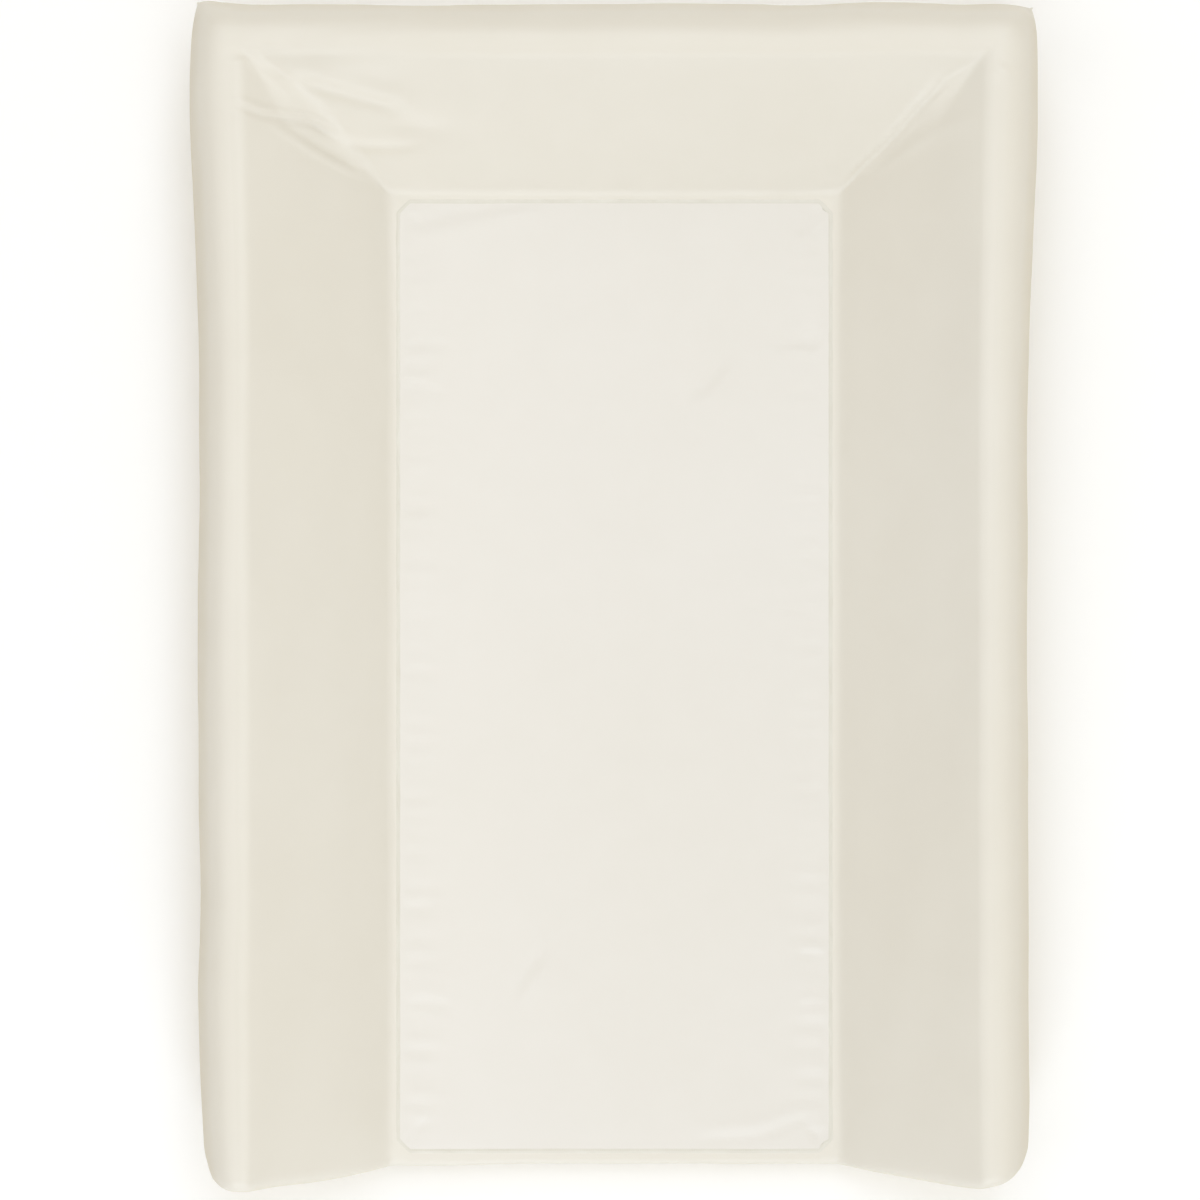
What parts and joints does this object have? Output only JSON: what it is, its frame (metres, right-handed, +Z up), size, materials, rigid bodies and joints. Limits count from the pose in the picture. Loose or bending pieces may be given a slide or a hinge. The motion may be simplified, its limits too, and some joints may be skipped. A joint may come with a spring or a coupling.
{
  "type": "changing pad",
  "caption": "Three-sided wipe-clean changing pad: flat lying surface, raised wedge sides and head, open foot end, film cover welded round foam.",
  "frame": {"origin": "middle of the underside, at floor level, in the middle of the welded hem's width and length", "axes": "+Z up out of the lying surface; +Y toward the closed head end; +X to the right seen from above with the head end away from you"},
  "size_m": [0.5, 0.7, 0.1],
  "materials": {
    "border_film": "satin",
    "panel_film": "satin",
    "base_film": "matte",
    "weld_film": "gloss",
    "foam": "matte",
    "vent_plastic": "satin"
  },
  "bodies": {
    "root": {"base_sheet": "base_film", "perimeter_weld": "weld_film", "border_skin": "border_film", "centre_panel": "panel_film", "centre_weld": "weld_film", "corner_dart_head_left": "weld_film", "corner_dart_head_right": "weld_film", "corner_dart_foot_left": "weld_film", "corner_dart_foot_right": "weld_film", "foam_slab": "foam", "foam_wedge_left": "foam", "foam_wedge_right": "foam", "foam_wedge_head": "foam", "vent_eyelet_left": "vent_plastic", "vent_eyelet_right": "vent_plastic", "vent_washer_left": "vent_plastic", "vent_washer_right": "vent_plastic"}
  },
  "joints": []
}
